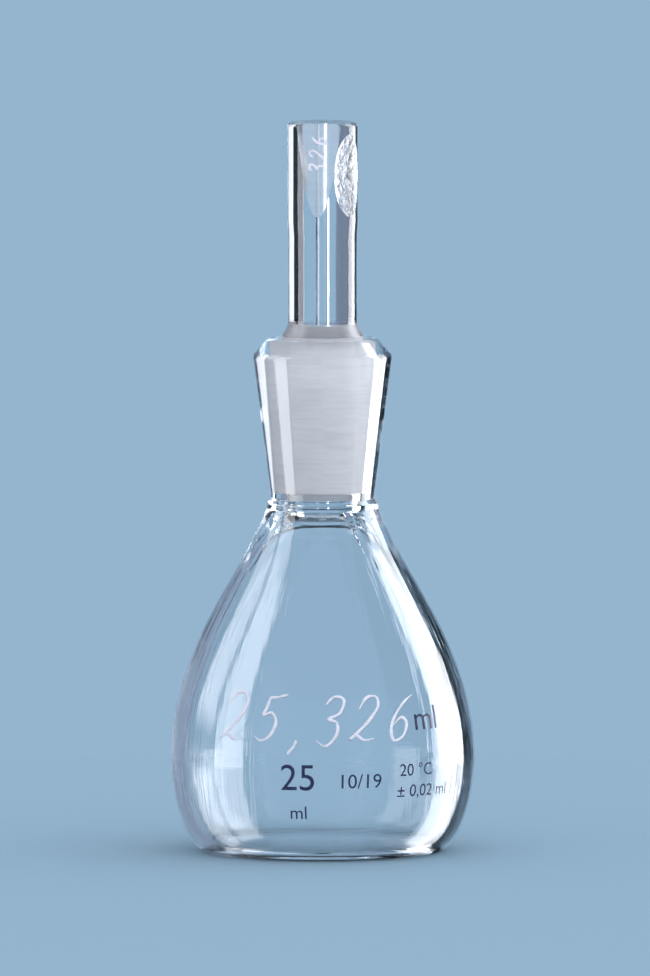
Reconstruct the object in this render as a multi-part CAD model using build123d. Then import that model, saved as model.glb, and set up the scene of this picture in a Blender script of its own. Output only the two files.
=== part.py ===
"""Pycnometer: a pear-shaped glass density bottle with a ground cone stopper that has a capillary through it.

All sizes are in millimetres. The origin is the centre of the ring that the bottle stands on, and +Z is up.
The bottle is one blown piece of glass and the stopper is another. Each is a turned outline; the top of the
stopper is pressed flat at two sides and ground off at the front.
"""

import os
from math import atan2, cos, degrees, hypot, radians, sin, sqrt

from build123d import *

# Bottle, outside
BELLY_RADIUS = 18.9
BELLY_HEIGHT = 11.7
FOOT_RADIUS = 14.2
FOOT_RING_WIDTH = 1.4
PUNT_RISE = 0.35
FOOT_REACH = 3.0
BELLY_REACH_DOWN = 4.25
BELLY_REACH_UP = 12.5
SHOULDER_REACH = 9.5
SHOULDER_ANGLE = 24.0
ROOT_RADIUS = 7.3
ROOT_HEIGHT = 41.6

# Bottle, wall
BELLY_WALL = 1.7
FLOOR_THICKNESS = 1.25
FLOOR_INSET = 0.8
FLOOR_DOME = 0.35
INNER_FOOT_REACH = 2.3
INNER_BELLY_REACH_DOWN = 4.3
INNER_BELLY_REACH_UP = 11.8
INNER_SHOULDER_REACH = 4.2
INNER_SHOULDER_ANGLE = 52.0
THROAT_FLARE = 0.7
THROAT_END_RISE = 0.4

# Neck
THROAT_LENGTH = 3.2
NECK_TOP_RADIUS = 8.65
RIM_WIDTH = 1.75
RIM_BEVEL = 2.1
BEAD_SWELL = 0.4
BEAD_START = 1.0
BEAD_LENGTH = 0.7
GROOVE_DEPTH = 0.9
GROOVE_RISE = 0.6
EDGE_ROUND = 0.25
BEVEL_ROUND = 1.0

# Ground joint: 10 mm at its wide end, 19 mm long, and 1 in 10 on the diameter
JOINT_DIAMETER = 10.0
JOINT_LENGTH = 19.0
JOINT_TAPER = 0.1
JOINT_CLEARANCE = 0.02

# Stopper
CONE_ABOVE_RIM = 0.3
CONE_BELOW_SOCKET = 2.1
CONE_END_ROUND = 0.35
SLOPE_HEIGHT = 1.4
ROD_RADIUS = 4.27
ROD_LENGTH = 25.1
GRIP_SWELL = 0.11
GRIP_LENGTH = 12.4
GRIP_BLEND = 1.6
TOP_ROUND = 0.6
CAPILLARY_RADIUS = 0.6

# Stopper grip: one ground face in front and two pressed hollows, opposite each other
FACE_DEPTH = 1.0
FACE_LENGTH = 11.5
FACE_TURN = -8.0
HOLLOW_DEPTH = 0.62
HOLLOW_LENGTH = 10.2
HOLLOW_BELOW_TOP = 6.5
HOLLOW_TURN = 50.0

# Places that follow from the sizes above
JOINT_END_HEIGHT = ROOT_HEIGHT + THROAT_LENGTH
THROAT_END_HEIGHT = ROOT_HEIGHT + THROAT_END_RISE
RIM_HEIGHT = JOINT_END_HEIGHT + JOINT_LENGTH
JOINT_RADIUS = JOINT_DIAMETER / 2
JOINT_SLOPE = JOINT_TAPER / 2
THROAT_RADIUS = JOINT_RADIUS - JOINT_SLOPE * JOINT_LENGTH
CONE_TOP_HEIGHT = RIM_HEIGHT + CONE_ABOVE_RIM
CONE_END_HEIGHT = JOINT_END_HEIGHT - CONE_BELOW_SOCKET
ROD_START_HEIGHT = CONE_TOP_HEIGHT + SLOPE_HEIGHT
TOP_HEIGHT = ROD_START_HEIGHT + ROD_LENGTH
GRIP_RADIUS = ROD_RADIUS + GRIP_SWELL


def cone_radius(height):
    """Radius of the stopper's ground cone at a height."""
    return JOINT_RADIUS - JOINT_CLEARANCE + JOINT_SLOPE * (height - RIM_HEIGHT)


def dome_arc(edge_radius, edge_height, rise):
    """Shallow arc from an edge up to the axis, level where it meets the axis."""
    sphere = (edge_radius**2 + rise**2) / (2 * rise)
    half = edge_radius / 2
    half_height = edge_height + rise - sphere + sqrt(sphere**2 - half**2)
    return ThreePointArc((edge_radius, edge_height), (half, half_height), (0, edge_height + rise))


def dome_edge_slope(edge_radius, rise):
    """Angle, in radians, at which such an arc leaves its edge."""
    return 2 * atan2(rise, edge_radius)


def bottle_outside():
    """The foot, belly and shoulder, up to the root of the neck."""
    angle = radians(SHOULDER_ANGLE)
    Bezier(
        (FOOT_RADIUS, 0),
        (FOOT_RADIUS + FOOT_REACH, 0),
        (BELLY_RADIUS, BELLY_HEIGHT - BELLY_REACH_DOWN),
        (BELLY_RADIUS, BELLY_HEIGHT),
    )
    Bezier(
        (BELLY_RADIUS, BELLY_HEIGHT),
        (BELLY_RADIUS, BELLY_HEIGHT + BELLY_REACH_UP),
        (ROOT_RADIUS + SHOULDER_REACH * sin(angle), ROOT_HEIGHT - SHOULDER_REACH * cos(angle)),
        (ROOT_RADIUS, ROOT_HEIGHT),
    )


def bottle_neck():
    """The bead at the root, the tapered neck, its bevelled rim and the ground socket."""
    bead_radius = ROOT_RADIUS - BEAD_SWELL
    bead_top = ROOT_HEIGHT + BEAD_START + BEAD_LENGTH
    FilletPolyline(
        (ROOT_RADIUS, ROOT_HEIGHT),
        (bead_radius, ROOT_HEIGHT + BEAD_START),
        (bead_radius, bead_top),
        (ROOT_RADIUS - GROOVE_DEPTH, bead_top + GROOVE_RISE),
        (NECK_TOP_RADIUS, RIM_HEIGHT - RIM_BEVEL),
        (JOINT_RADIUS + RIM_WIDTH, RIM_HEIGHT),
        (JOINT_RADIUS, RIM_HEIGHT),
        (THROAT_RADIUS, JOINT_END_HEIGHT),
        radius=[EDGE_ROUND] * 3 + [BEVEL_ROUND] * 2 + [EDGE_ROUND],
    )


def bottle_inside():
    """The throat, the inside of the shoulder and belly, and the domed floor."""
    angle = radians(INNER_SHOULDER_ANGLE)
    inner_radius = BELLY_RADIUS - BELLY_WALL
    flare_start = (THROAT_RADIUS, THROAT_END_HEIGHT)
    flare_end = (
        THROAT_RADIUS + THROAT_FLARE * (1 - cos(angle)),
        THROAT_END_HEIGHT - THROAT_FLARE * sin(angle),
    )
    flare_middle = (
        THROAT_RADIUS + THROAT_FLARE * (1 - cos(angle / 2)),
        THROAT_END_HEIGHT - THROAT_FLARE * sin(angle / 2),
    )
    floor_radius = FOOT_RADIUS - FLOOR_INSET
    slope = dome_edge_slope(floor_radius, FLOOR_DOME)
    Line((THROAT_RADIUS, JOINT_END_HEIGHT), flare_start)
    ThreePointArc(flare_start, flare_middle, flare_end)
    Bezier(
        flare_end,
        (flare_end[0] + INNER_SHOULDER_REACH * sin(angle), flare_end[1] - INNER_SHOULDER_REACH * cos(angle)),
        (inner_radius, BELLY_HEIGHT + INNER_BELLY_REACH_UP),
        (inner_radius, BELLY_HEIGHT),
    )
    Bezier(
        (inner_radius, BELLY_HEIGHT),
        (inner_radius, BELLY_HEIGHT - INNER_BELLY_REACH_DOWN),
        (floor_radius + INNER_FOOT_REACH * cos(slope), FLOOR_THICKNESS - INNER_FOOT_REACH * sin(slope)),
        (floor_radius, FLOOR_THICKNESS),
    )
    dome_arc(floor_radius, FLOOR_THICKNESS, FLOOR_DOME)


def make_bottle():
    """The blown bottle, turned from its outline."""
    ring_inside = FOOT_RADIUS - FOOT_RING_WIDTH
    with BuildPart() as bottle:
        with BuildSketch(Plane.XZ):
            with BuildLine():
                bottle_outside()
                bottle_neck()
                bottle_inside()
                Line((0, FLOOR_THICKNESS + FLOOR_DOME), (0, PUNT_RISE))
                dome_arc(ring_inside, 0, PUNT_RISE)
                Line((ring_inside, 0), (FOOT_RADIUS, 0))
            make_face()
        revolve(axis=Axis.Z)
    return bottle.part


def stopper_blank():
    """The stopper before its grip is pressed and ground, with the capillary through it."""
    with BuildPart() as blank:
        with BuildSketch(Plane.XZ):
            with BuildLine():
                outside = FilletPolyline(
                    (CAPILLARY_RADIUS, CONE_END_HEIGHT),
                    (cone_radius(CONE_END_HEIGHT), CONE_END_HEIGHT),
                    (cone_radius(CONE_TOP_HEIGHT), CONE_TOP_HEIGHT),
                    (ROD_RADIUS, ROD_START_HEIGHT),
                    (ROD_RADIUS, TOP_HEIGHT - GRIP_LENGTH - GRIP_BLEND),
                    (GRIP_RADIUS, TOP_HEIGHT - GRIP_LENGTH),
                    (GRIP_RADIUS, TOP_HEIGHT),
                    (CAPILLARY_RADIUS, TOP_HEIGHT),
                    radius=[CONE_END_ROUND, EDGE_ROUND, EDGE_ROUND, BEVEL_ROUND, BEVEL_ROUND, TOP_ROUND],
                )
                Line(outside @ 1, outside @ 0)
            make_face()
        revolve(axis=Axis.Z)
    return blank.part


def ground_face_tool():
    """The block that grinding takes off the front of the grip. It runs out at the face's lower end."""
    reach = 4 * GRIP_RADIUS
    tilt = degrees(atan2(FACE_DEPTH, FACE_LENGTH))
    block = Box(reach, reach, 2 * reach, align=(Align.CENTER, Align.MAX, Align.CENTER))
    run_out = Pos(0, -GRIP_RADIUS, TOP_HEIGHT - FACE_LENGTH)
    return Rot(0, 0, FACE_TURN) * run_out * Rot(-tilt, 0, 0) * block


def pressed_hollow_tool(turn):
    """The barrel of the pressing tool, level, sunk into the grip to the hollow's depth."""
    half = HOLLOW_LENGTH / 2
    barrel_radius = (half**2 + HOLLOW_DEPTH**2) / (2 * HOLLOW_DEPTH)
    barrel = Rot(0, 90, 0) * Cylinder(barrel_radius, 4 * GRIP_RADIUS)
    away = GRIP_RADIUS - HOLLOW_DEPTH + barrel_radius
    return Rot(0, 0, turn) * Pos(0, -away, TOP_HEIGHT - HOLLOW_BELOW_TOP) * barrel


def make_stopper():
    """The capillary stopper, with its pressed and ground grip."""
    stopper = stopper_blank()
    stopper -= ground_face_tool()
    for turn in (HOLLOW_TURN, HOLLOW_TURN + 180):
        stopper -= pressed_hollow_tool(turn)
    return stopper


def main():
    os.makedirs("parts", exist_ok=True)
    for name, shape in (("bottle", make_bottle()), ("stopper", make_stopper())):
        export_step(shape, f"parts/{name}.step")


main()
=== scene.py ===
"""Density bottle: a pear-shaped glass bottle with a ground neck, and its capillary stopper.

Settings are in metres and degrees. The bottle stands at the origin, +Z is up and its marks face -Y.
The two glasses are turned from their outlines, the stopper's grip is then pressed and ground, and the
scribed numbers and enamel marks lie on the finished glass.
"""

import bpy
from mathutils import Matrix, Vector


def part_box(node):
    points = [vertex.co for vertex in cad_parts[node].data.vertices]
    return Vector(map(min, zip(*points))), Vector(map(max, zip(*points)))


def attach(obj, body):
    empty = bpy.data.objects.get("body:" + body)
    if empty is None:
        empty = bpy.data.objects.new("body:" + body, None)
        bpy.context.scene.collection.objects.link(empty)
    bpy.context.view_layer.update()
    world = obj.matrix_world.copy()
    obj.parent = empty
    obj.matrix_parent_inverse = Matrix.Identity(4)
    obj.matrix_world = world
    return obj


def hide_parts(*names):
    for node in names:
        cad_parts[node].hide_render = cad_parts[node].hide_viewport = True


bl_info = {
    "name": "Density Bottle",
    "version": (1, 0, 0),
    "blender": (4, 5, 0),
    "location": "3D View > Sidebar > Density Bottle",
    "description": "Builds a glass density bottle with a ground neck and a capillary stopper",
    "category": "Add Mesh",
}

from math import atan2, ceil, cos, degrees, hypot, pi, radians, sin, sqrt

import bmesh
import bpy
from mathutils import Matrix, Vector

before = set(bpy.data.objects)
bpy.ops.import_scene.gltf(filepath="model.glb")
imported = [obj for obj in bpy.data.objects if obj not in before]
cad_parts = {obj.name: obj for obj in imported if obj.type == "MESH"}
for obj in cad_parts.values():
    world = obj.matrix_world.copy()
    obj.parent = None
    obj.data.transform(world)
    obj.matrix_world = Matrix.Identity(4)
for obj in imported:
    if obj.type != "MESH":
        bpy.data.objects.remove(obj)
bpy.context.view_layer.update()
BOTTLE_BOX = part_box("bottle")

MM = 0.001


def length(name, description, millimetres):
    """A size in the settings, given here in millimetres and kept in metres."""
    return bpy.props.FloatProperty(
        name=name,
        description=description,
        default=millimetres * MM,
        min=0.0,
        precision=5,
        subtype="DISTANCE",
        unit="LENGTH",
    )


def turn(name, description, angle):
    """An angle in the settings, given here in degrees."""
    return bpy.props.FloatProperty(
        name=name, description=description, default=radians(angle), subtype="ANGLE", unit="ROTATION"
    )


def strength(name, description, value, **limits):
    """A plain number in the settings, 0 or more."""
    return bpy.props.FloatProperty(name=name, description=description, default=value, min=0.0, **limits)


def share(name, description, value):
    """A plain share from 0 to 1 in the settings."""
    return strength(name, description, value, max=1.0, subtype="FACTOR")


def colour(name, description, value):
    """A colour in the settings."""
    return bpy.props.FloatVectorProperty(
        name=name, description=description, default=value, min=0.0, max=1.0, size=3, subtype="COLOR"
    )


class BodySizes(bpy.types.PropertyGroup):
    belly_radius: length("Belly radius", "Outer radius of the bottle at its widest", BOTTLE_BOX[1].x / MM)
    belly_height: length("Belly height", "Height of the widest part", 11.7)
    foot_radius: length("Foot radius", "Outer radius of the ring it stands on", 14.2)
    foot_ring_width: length("Foot ring width", "Width of the flat ring it stands on", 1.4)
    punt_rise: length("Punt rise", "Height of the hollow under the base", 0.35)
    foot_reach: length("Foot reach", "How far the foot stays flat before it turns up", 3.0)
    belly_reach_down: length("Belly reach down", "Upright stretch of the belly below its widest part", 4.25)
    belly_reach_up: length("Belly reach up", "Upright stretch of the belly above its widest part", 12.5)
    shoulder_reach: length("Shoulder reach", "How far the shoulder stays straight below the neck", 9.5)
    shoulder_angle: turn("Shoulder angle", "Slope of the shoulder where it meets the neck", 24.0)
    root_radius: length("Root radius", "Outer radius where the shoulder meets the neck", 7.3)
    root_height: length("Root height", "Height where the shoulder meets the neck", 41.6)
    belly_wall: length("Belly wall", "Thickness of the glass at the belly", 1.7)
    floor_thickness: length("Floor thickness", "Height of the inner floor's edge", 1.25)
    floor_inset: length("Floor inset", "How far the inner floor's edge lies inside the foot", 0.8)
    floor_dome: length("Floor dome", "Rise of the inner floor towards its middle", 0.35)
    inner_foot_reach: length("Inner foot reach", "How far the inner floor runs on before it turns up", 2.3)
    inner_reach_down: length("Inner reach down", "Upright stretch of the inner wall below the belly", 4.3)
    inner_reach_up: length("Inner reach up", "Upright stretch of the inner wall above the belly", 11.8)
    inner_shoulder_reach: length("Inner shoulder reach", "Straight stretch of the inner shoulder", 4.2)
    inner_shoulder_angle: turn("Inner shoulder angle", "Slope of the inner shoulder at the throat", 52.0)
    throat_flare: length("Throat flare", "Radius of the turn from the throat into the shoulder", 0.7)
    steps: bpy.props.IntProperty(name="Steps", description="Steps round the bottle", default=240, min=24)
    waviness: length("Waviness", "How far the blown inner wall wanders in and out", 0.09)
    wave_length: length("Wave length", "Distance between waves of the inner wall", 9.0)
    run_depth: length("Run depth", "Thickness of the runs of glass below the throat", 0.2)
    run_width: length("Run width", "Width of a run", 0.95)
    run_length: length("Run length", "How far down the runs reach", 10.0)
    run_turn: turn("Run turn", "Turn of the first group of runs from the front", 52.0)
    second_run_turn: turn("Second run turn", "Turn of the second group of runs from the front", -74.0)
    seed: bpy.props.IntProperty(name="Seed", description="Seed of the waves and runs", default=7)


class NeckSizes(bpy.types.PropertyGroup):
    throat_length: length("Throat length", "Clear throat under the ground socket", 3.2)
    throat_end_rise: length("Throat end rise", "Height of the throat's lower end above the root", 0.4)
    throat_lip: length("Throat lip", "How far the melted lip at the throat's lower end stands in", 0.32)
    throat_lip_length: length("Throat lip length", "Height of the melted lip", 1.1)
    top_radius: length("Top radius", "Outer radius of the neck under its bevel", 8.65)
    rim_width: length("Rim width", "Width of the flat rim round the mouth", 1.75)
    rim_bevel: length("Rim bevel", "Height of the bevel outside the rim", 2.1)
    bead_swell: length("Bead swell", "How far the bead lies inside the shoulder's end", 0.4)
    bead_start: length("Bead start", "Height of the bead above the root", 1.0)
    bead_length: length("Bead length", "Height of the bead", 0.7)
    groove_depth: length("Groove depth", "How far the groove lies inside the shoulder's end", 0.9)
    groove_rise: length("Groove rise", "Height of the groove above the bead", 0.6)
    edge_round: length("Edge round", "Radius of the small edges", 0.25)
    bevel_round: length("Bevel round", "Radius of the rim's outer edges", 1.0)


class JointSizes(bpy.types.PropertyGroup):
    diameter: length("Diameter", "Wide end of the ground socket", 10.0)
    ground_length: length("Ground length", "Length of the ground socket", 19.0)
    taper: share("Taper", "Change of diameter for each length", 0.1)
    clearance: length("Clearance", "Gap between socket and cone, on the radius", 0.02)


class StopperSizes(bpy.types.PropertyGroup):
    cone_above_rim: length("Cone above rim", "How far the ground cone stands out of the mouth", 0.3)
    cone_below_socket: length("Cone below socket", "How far the cone reaches below the ground socket", 2.1)
    clear_tip: length("Clear tip", "Polished end of the cone", 1.1)
    cone_end_round: length("Cone end round", "Radius of the cone's lower edge", 0.35)
    slope_height: length("Slope height", "Height of the slope from cone to rod", 1.4)
    rod_radius: length("Rod radius", "Radius of the rod", 4.27)
    rod_length: length("Rod length", "Length of the rod", 25.1)
    grip_swell: length("Grip swell", "How much wider the grip is than the rod", 0.11)
    grip_length: length("Grip length", "Length of the grip", 12.4)
    grip_blend: length("Grip blend", "Length of the change from rod to grip", 1.6)
    top_round: length("Top round", "Radius of the top edge", 0.6)
    capillary_radius: length("Capillary radius", "Radius of the bore", 0.6)
    face_depth: length("Face depth", "Depth of the ground face at the top", 1.0)
    face_length: length("Face length", "Length of the ground face", 11.5)
    face_turn: turn("Face turn", "Turn of the ground face from the front", -8.0)
    hollow_depth: length("Hollow depth", "Depth of each pressed hollow", 0.62)
    hollow_length: length("Hollow length", "Length of each pressed hollow", 10.2)
    hollow_below_top: length("Hollow below top", "Middle of the hollows below the top", 6.5)
    hollow_turn: turn("Hollow turn", "Turn of the first hollow from the front", 50.0)
    steps: bpy.props.IntProperty(name="Steps", description="Steps round the stopper", default=192, min=24)
    waviness: length("Waviness", "How far the drawn rod wanders in and out", 0.02)
    wave_length: length("Wave length", "Distance between waves of the rod", 6.0)
    seed: bpy.props.IntProperty(name="Seed", description="Seed of the waves", default=3)


class GlassLook(bpy.types.PropertyGroup):
    tint: colour("Tint", "Colour of clear glass", (0.985, 0.992, 1.0))
    depth_colour: colour("Depth colour", "Colour that deep glass takes on", (0.62, 0.74, 0.84))
    depth_density: strength("Depth density", "Strength of the depth colour, for each metre", 16.0)
    streak_depth: length("Streak depth", "Depth of the streaks in the blown wall", 0.1)
    face_clearness: share("Face clearness", "Light that the ground face lets through", 0.84)
    face_roughness: share("Face roughness", "Roughness of the ground face", 0.3)
    refraction: bpy.props.FloatProperty(name="Refraction", description="Refractive index", default=1.473)
    ground_colour: colour("Ground colour", "Colour of the finely ground socket", (0.93, 0.945, 1.0))
    # The cone's darker grey is painted shade: the cone is the same ground glass as the socket, shaded where
    # it sits inside the neck.
    shaded_cone_colour: colour("Shaded cone colour", "Colour of the finely ground cone, darkened as painted shade inside the neck", (0.60, 0.62, 0.68))
    ground_roughness: share("Ground roughness", "Roughness of finely ground glass", 0.5)
    ground_clearness: share("Ground clearness", "Light that finely ground glass lets through", 0.12)
    pressed_roughness: share("Pressed roughness", "Roughness of the pressed hollows", 0.2)
    pressed_clearness: share("Pressed clearness", "Light that the pressed hollows let through", 0.88)


class MarkLook(bpy.types.PropertyGroup):
    content: bpy.props.StringProperty(
        name="Content", description="Content in cubic centimetres, scribed on the bottle", default="25,326"
    )
    scribed_height: length("Scribed height", "Height of the scribed digits", 5.6)
    scribed_pitch: length("Scribed pitch", "Distance from digit to digit", 4.7)
    scribed_width: length("Scribed width", "Width of a scribed line", 0.42)
    scribed_level: length("Scribed level", "Height of the scribed number's foot line", 15.0)
    scribed_colour: colour("Scribed colour", "Colour of a scribed line", (0.70, 0.71, 0.82))
    enamel_colour: colour("Enamel colour", "Colour of the fired marks", (0.014, 0.019, 0.072))
    enamel_thickness: length("Enamel thickness", "Thickness of the fired marks", 0.02)


class StageLook(bpy.types.PropertyGroup):
    backdrop_colour: colour("Backdrop colour", "Colour of the backdrop and the floor", (0.30, 0.46, 0.62))
    box_colour: colour("Box colour", "Colour of the soft boxes' light", (0.93, 0.95, 1.0))
    side_wall_colour: colour("Side wall colour", "Colour of the studio's left wall", (0.24, 0.30, 0.42))
    dark_level: share("Dark level", "Brightness of the studio's dark parts against the backdrop", 0.03)
    box_height: strength("Box height", "Reach of the soft boxes above and below the level, in degrees", 46.0)
    overhead_strength: strength("Overhead strength", "Strength of the overhead soft box", 1.1)
    outer_share: strength("Outer share", "Strength of what the outer skin mirrors", 1.3)
    inner_share: share("Inner share", "Strength of what the near wall's inner skin mirrors", 0.8)
    far_dimming: share("Far dimming", "Strength of what the far wall mirrors", 0.42)
    light_level: strength("Light level", "Plain level of the light on matt surfaces", 1.15)
    light_slant: share("Light slant", "How much stronger the light is from its brighter side", 0.5)
    light_turn: turn("Light turn", "Turn of the brighter side from the front", 62.0)
    light_rise: turn("Light rise", "Rise of the brighter side", 30.0)
    floor_radius: length("Floor radius", "Radius of the floor", 130.0)
    floor_gap: length("Floor gap", "Gap under the bottle's foot ring", 0.03)
    camera_distance: length("Camera distance", "Distance of the camera in front of the bottle", 3000.0)
    camera_height: length("Camera height", "Height of the camera above the floor", 294.0)
    aim_height: length("Aim height", "Height that the camera looks at", 45.1)
    aim_aside: length("Aim aside", "How far right of the axis the camera looks", 0.3)
    view_height: length("View height", "Height of the view at the bottle", 121.0)


class DensityBottle(bpy.types.PropertyGroup):
    body: bpy.props.PointerProperty(type=BodySizes, name="Body", description="Sizes of the blown body")
    neck: bpy.props.PointerProperty(type=NeckSizes, name="Neck", description="Sizes of the neck")
    joint: bpy.props.PointerProperty(type=JointSizes, name="Joint", description="Sizes of the ground joint")
    stopper: bpy.props.PointerProperty(type=StopperSizes, name="Stopper", description="Sizes of the stopper")
    glass: bpy.props.PointerProperty(type=GlassLook, name="Glass", description="Look of the glass")
    marks: bpy.props.PointerProperty(type=MarkLook, name="Marks", description="Sizes and look of the marks")
    stage: bpy.props.PointerProperty(type=StageLook, name="Stage", description="Floor, backdrop and camera")


class Heights:
    """Heights and radii that follow from the settings."""

    def __init__(self, settings):
        body, neck, joint, stopper = settings.body, settings.neck, settings.joint, settings.stopper
        self.joint_slope = joint.taper / 2
        self.mouth_radius = joint.diameter / 2
        self.joint_end = body.root_height + neck.throat_length
        self.throat_end = body.root_height + neck.throat_end_rise
        self.rim = self.joint_end + joint.ground_length
        self.throat_radius = self.mouth_radius - self.joint_slope * joint.ground_length
        self.cone_top = self.rim + stopper.cone_above_rim
        self.cone_end = self.joint_end - stopper.cone_below_socket
        self.rod_start = self.cone_top + stopper.slope_height
        self.top = self.rod_start + stopper.rod_length
        self.grip_radius = stopper.rod_radius + stopper.grip_swell
        self.clearance = joint.clearance

    def cone_radius(self, height):
        return self.mouth_radius - self.clearance + self.joint_slope * (height - self.rim)


def curve_points(a, b, c, d, count):
    """Points along a smooth curve from a to d that leaves towards b and arrives from c."""
    points = []
    for i in range(count + 1):
        t = i / count
        s = 1 - t
        pull = (s**3, 3 * s * s * t, 3 * s * t * t, t**3)
        points.append(tuple(sum(w * c for w, c in zip(pull, coordinates)) for coordinates in zip(a, b, c, d)))
    return points


def dome_points(edge_radius, edge_height, rise, count):
    """Points of a shallow dome from its edge up to the axis."""
    sphere = (edge_radius**2 + rise**2) / (2 * rise)
    points = []
    for i in range(count + 1):
        r = edge_radius * (1 - i / count)
        points.append((r, edge_height + rise - sphere + sqrt(sphere**2 - r * r)))
    return points


def rounded_path(points, radii, steps=8, guard=0.12 * MM):
    """The path with its inner corners rounded. A close point beside each corner keeps the flats flat."""
    path = [points[0]]
    for before, corner, after, radius in zip(points, points[1:], points[2:], radii):
        to_before = Vector(before) - Vector(corner)
        to_after = Vector(after) - Vector(corner)
        u, v = to_before.normalized(), to_after.normalized()
        half = u.angle(v) / 2
        reach = radius / (sin(half) / cos(half))
        middle = Vector(corner) + (u + v).normalized() * (radius / sin(half))
        first, last = Vector(corner) + u * reach, Vector(corner) + v * reach
        spread = pi - 2 * half
        start = first - middle
        side = 1 if u.x * v.y - u.y * v.x < 0 else -1
        count = max(2, ceil(steps * spread / (pi / 2)))
        if to_before.length > reach + 2 * guard:
            path.append(tuple(first + u * guard))
        for i in range(count + 1):
            angle = side * spread * i / count
            x = start.x * cos(angle) - start.y * sin(angle)
            y = start.x * sin(angle) + start.y * cos(angle)
            path.append(tuple(middle + Vector((x, y))))
        path[-1] = tuple(last)
        if to_after.length > reach + 2 * guard:
            path.append(tuple(last + v * guard))
    path.append(points[-1])
    return path


def rise_between(height, low, reach, least=0.0):
    """A straight rise to 1 over a reach that starts at a low height, never under the least value."""
    return min(1.0, max(least, (height - low) / reach))


# Steps along each curve of the bottle's outline, and how wavy its outside is against its inside.
BASE_STEPS = 14
LOWER_STEPS = 42
UPPER_STEPS = 84
INNER_UPPER_STEPS = 78
INNER_LOWER_STEPS = 36
FLOOR_STEPS = 18
LIP_STEPS = 10
OUTER_WAVINESS = 0.16


def bottle_outline(settings):
    """Outline of the bottle from the middle of its base, up outside, over the rim and down inside.

    Each point is (radius, height, ground, wavy, streaked). The last two say how much the blown wall wanders
    and how much it is streaked."""
    body, neck = settings.body, settings.neck
    at = Heights(settings)
    ring_inside = body.foot_radius - body.foot_ring_width
    inner_radius = body.belly_radius - body.belly_wall
    floor_radius = body.foot_radius - body.floor_inset
    angle, inner_angle = body.shoulder_angle, body.inner_shoulder_angle
    bead_radius = body.root_radius - neck.bead_swell
    bead_top = body.root_height + neck.bead_start + neck.bead_length

    base = dome_points(ring_inside, 0.0, body.punt_rise, BASE_STEPS)[::-1]
    base += [(ring_inside + body.foot_ring_width / 2, 0.0)]
    lower = curve_points(
        (body.foot_radius, 0.0),
        (body.foot_radius + body.foot_reach, 0.0),
        (body.belly_radius, body.belly_height - body.belly_reach_down),
        (body.belly_radius, body.belly_height),
        LOWER_STEPS,
    )
    upper = curve_points(
        (body.belly_radius, body.belly_height),
        (body.belly_radius, body.belly_height + body.belly_reach_up),
        (
            body.root_radius + body.shoulder_reach * sin(angle),
            body.root_height - body.shoulder_reach * cos(angle),
        ),
        (body.root_radius, body.root_height),
        UPPER_STEPS,
    )
    rim = rounded_path(
        [
            (body.root_radius, body.root_height),
            (bead_radius, body.root_height + neck.bead_start),
            (bead_radius, bead_top),
            (body.root_radius - neck.groove_depth, bead_top + neck.groove_rise),
            (neck.top_radius, at.rim - neck.rim_bevel),
            (at.mouth_radius + neck.rim_width, at.rim),
            (at.mouth_radius, at.rim),
            (at.throat_radius, at.joint_end),
        ],
        [neck.edge_round] * 3 + [neck.bevel_round] * 2 + [neck.edge_round],
    )
    flare = []
    for i in range(LIP_STEPS + 1):
        a = inner_angle * i / LIP_STEPS
        swell = neck.throat_lip * (1 + cos(pi * i / LIP_STEPS)) / 2
        r = at.throat_radius + body.throat_flare * (1 - cos(a)) - swell
        flare.append((r, at.throat_end - body.throat_flare * sin(a)))
    end = flare[-1]
    inner_upper = curve_points(
        end,
        (
            end[0] + body.inner_shoulder_reach * sin(inner_angle),
            end[1] - body.inner_shoulder_reach * cos(inner_angle),
        ),
        (inner_radius, body.belly_height + body.inner_reach_up),
        (inner_radius, body.belly_height),
        INNER_UPPER_STEPS,
    )
    slope = 2 * atan2(body.floor_dome, floor_radius)
    inner_lower = curve_points(
        (inner_radius, body.belly_height),
        (inner_radius, body.belly_height - body.inner_reach_down),
        (
            floor_radius + body.inner_foot_reach * cos(slope),
            body.floor_thickness - body.inner_foot_reach * sin(slope),
        ),
        (floor_radius, body.floor_thickness),
        INNER_LOWER_STEPS,
    )
    floor = dome_points(floor_radius, body.floor_thickness, body.floor_dome, FLOOR_STEPS)

    outside = base + lower + upper[1:] + rim[1:-1]
    inside = flare[1:] + inner_upper[1:] + inner_lower[1:] + floor[1:]
    outline = []
    for r, z in outside:
        in_socket = r <= at.mouth_radius + 0.01 * MM and z > at.joint_end
        on_body = 1.0 * MM < z < body.root_height - 1.0 * MM
        ground = 1.0 if in_socket and z < at.rim - 0.2 * MM else 0.0
        outline.append((r, z, ground, OUTER_WAVINESS if on_body else 0.0, 0.0))
    outline.append((at.throat_radius, at.joint_end, 1.0, 0.0, 0.0))
    outline.append((at.throat_radius, at.joint_end - 0.12 * MM, 0.0, 0.0, 0.0))
    lip_from = at.throat_end + neck.throat_lip_length / 2
    outline.append((at.throat_radius, (at.joint_end + lip_from) / 2, 0.0, 0.0, 0.0))
    for i in range(LIP_STEPS + 1):
        swell = neck.throat_lip * (1 - cos(pi * i / LIP_STEPS)) / 2
        z = lip_from - neck.throat_lip_length / 2 * i / LIP_STEPS
        outline.append((at.throat_radius - swell, z, 0.0, 0.0, 0.0))
    for r, z in inside:
        near_throat = rise_between(body.root_height - z, 0.0, 4 * MM)
        over_floor = rise_between(z, 5 * MM, 8 * MM, least=0.08)
        streaked = rise_between(z, 3 * MM, 4 * MM) * rise_between(at.throat_end - z, 0.0, 1 * MM)
        outline.append((r, z, 0.0, near_throat * over_floor, streaked))
    return outline


STOPPER_POINT_GAP = 1.2 * MM


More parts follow.
